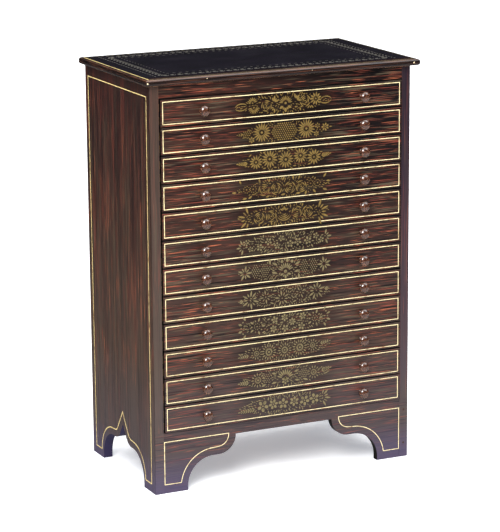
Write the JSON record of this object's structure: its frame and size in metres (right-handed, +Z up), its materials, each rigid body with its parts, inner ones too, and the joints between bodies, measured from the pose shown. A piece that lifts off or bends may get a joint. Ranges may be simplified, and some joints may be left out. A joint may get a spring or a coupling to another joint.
{
  "type": "specimen cabinet",
  "caption": "Tall table-top specimen cabinet: shallow full-width drawers with paired turned knobs slide out of a grained case on shaped bracket feet.",
  "frame": {"origin": "under the middle of the whole cabinet's box, knobs included, on the surface that the feet stand on", "axes": "+Z up, +Y from the front to the back, +X to the right of someone who faces the drawers"},
  "size_m": [0.458, 0.2686, 0.64],
  "materials": {
    "grained_case": "pine painted and grained as dark rosewood, old varnish, semi-gloss",
    "grained_front": "pine painted and grained as dark rosewood, gilt stencilling, old varnish, semi-gloss",
    "japanned_top": "pine with a black painted top, worn varnish",
    "knob_wood": "turned rosewood, polished",
    "drawer_lining": "bare planed pine, aged",
    "runner_wood": "bare beech strip, waxed by use",
    "bare_pine": "bare sawn pine, darkened with age",
    "iron_nails": "old iron, dull"
  },
  "bodies": {
    "carcass": {"top_board": "japanned_top", "side_left": "grained_case", "side_right": "grained_case", "top_rail": "grained_front", "front_apron": "grained_front", "bottom_board": "bare_pine", "back_boards": "bare_pine", "runners_left": "runner_wood", "runners_right": "runner_wood", "glue_blocks": "bare_pine", "nails": "iron_nails"},
    "drawer_01": {"drawer_01_front": "grained_front", "drawer_01_frame": "drawer_lining", "drawer_01_bottom": "drawer_lining", "drawer_01_knobs": "knob_wood"},
    "drawer_02": {"drawer_02_front": "grained_front", "drawer_02_frame": "drawer_lining", "drawer_02_bottom": "drawer_lining", "drawer_02_knobs": "knob_wood"},
    "drawer_03": {"drawer_03_front": "grained_front", "drawer_03_frame": "drawer_lining", "drawer_03_bottom": "drawer_lining", "drawer_03_knobs": "knob_wood"},
    "drawer_04": {"drawer_04_front": "grained_front", "drawer_04_frame": "drawer_lining", "drawer_04_bottom": "drawer_lining", "drawer_04_knobs": "knob_wood"},
    "drawer_05": {"drawer_05_front": "grained_front", "drawer_05_frame": "drawer_lining", "drawer_05_bottom": "drawer_lining", "drawer_05_knobs": "knob_wood"},
    "drawer_06": {"drawer_06_front": "grained_front", "drawer_06_frame": "drawer_lining", "drawer_06_bottom": "drawer_lining", "drawer_06_knobs": "knob_wood"},
    "drawer_07": {"drawer_07_front": "grained_front", "drawer_07_frame": "drawer_lining", "drawer_07_bottom": "drawer_lining", "drawer_07_knobs": "knob_wood"},
    "drawer_08": {"drawer_08_front": "grained_front", "drawer_08_frame": "drawer_lining", "drawer_08_bottom": "drawer_lining", "drawer_08_knobs": "knob_wood"},
    "drawer_09": {"drawer_09_front": "grained_front", "drawer_09_frame": "drawer_lining", "drawer_09_bottom": "drawer_lining", "drawer_09_knobs": "knob_wood"},
    "drawer_10": {"drawer_10_front": "grained_front", "drawer_10_frame": "drawer_lining", "drawer_10_bottom": "drawer_lining", "drawer_10_knobs": "knob_wood"},
    "drawer_11": {"drawer_11_front": "grained_front", "drawer_11_frame": "drawer_lining", "drawer_11_bottom": "drawer_lining", "drawer_11_knobs": "knob_wood"},
    "drawer_12": {"drawer_12_front": "grained_front", "drawer_12_frame": "drawer_lining", "drawer_12_bottom": "drawer_lining", "drawer_12_knobs": "knob_wood"}
  },
  "joints": [
    {"name": "drawer_01_slide", "type": "slide", "parent": "carcass", "child": "drawer_01", "axis": [0, -1, 0], "range_m": [0, 0.19]},
    {"name": "drawer_02_slide", "type": "slide", "parent": "carcass", "child": "drawer_02", "axis": [0, -1, 0], "range_m": [0, 0.19]},
    {"name": "drawer_03_slide", "type": "slide", "parent": "carcass", "child": "drawer_03", "axis": [0, -1, 0], "range_m": [0, 0.19]},
    {"name": "drawer_04_slide", "type": "slide", "parent": "carcass", "child": "drawer_04", "axis": [0, -1, 0], "range_m": [0, 0.19]},
    {"name": "drawer_05_slide", "type": "slide", "parent": "carcass", "child": "drawer_05", "axis": [0, -1, 0], "range_m": [0, 0.19]},
    {"name": "drawer_06_slide", "type": "slide", "parent": "carcass", "child": "drawer_06", "axis": [0, -1, 0], "range_m": [0, 0.19]},
    {"name": "drawer_07_slide", "type": "slide", "parent": "carcass", "child": "drawer_07", "axis": [0, -1, 0], "range_m": [0, 0.19]},
    {"name": "drawer_08_slide", "type": "slide", "parent": "carcass", "child": "drawer_08", "axis": [0, -1, 0], "range_m": [0, 0.19]},
    {"name": "drawer_09_slide", "type": "slide", "parent": "carcass", "child": "drawer_09", "axis": [0, -1, 0], "range_m": [0, 0.19]},
    {"name": "drawer_10_slide", "type": "slide", "parent": "carcass", "child": "drawer_10", "axis": [0, -1, 0], "range_m": [0, 0.19]},
    {"name": "drawer_11_slide", "type": "slide", "parent": "carcass", "child": "drawer_11", "axis": [0, -1, 0], "range_m": [0, 0.19]},
    {"name": "drawer_12_slide", "type": "slide", "parent": "carcass", "child": "drawer_12", "axis": [0, -1, 0], "range_m": [0, 0.19]}
  ]
}
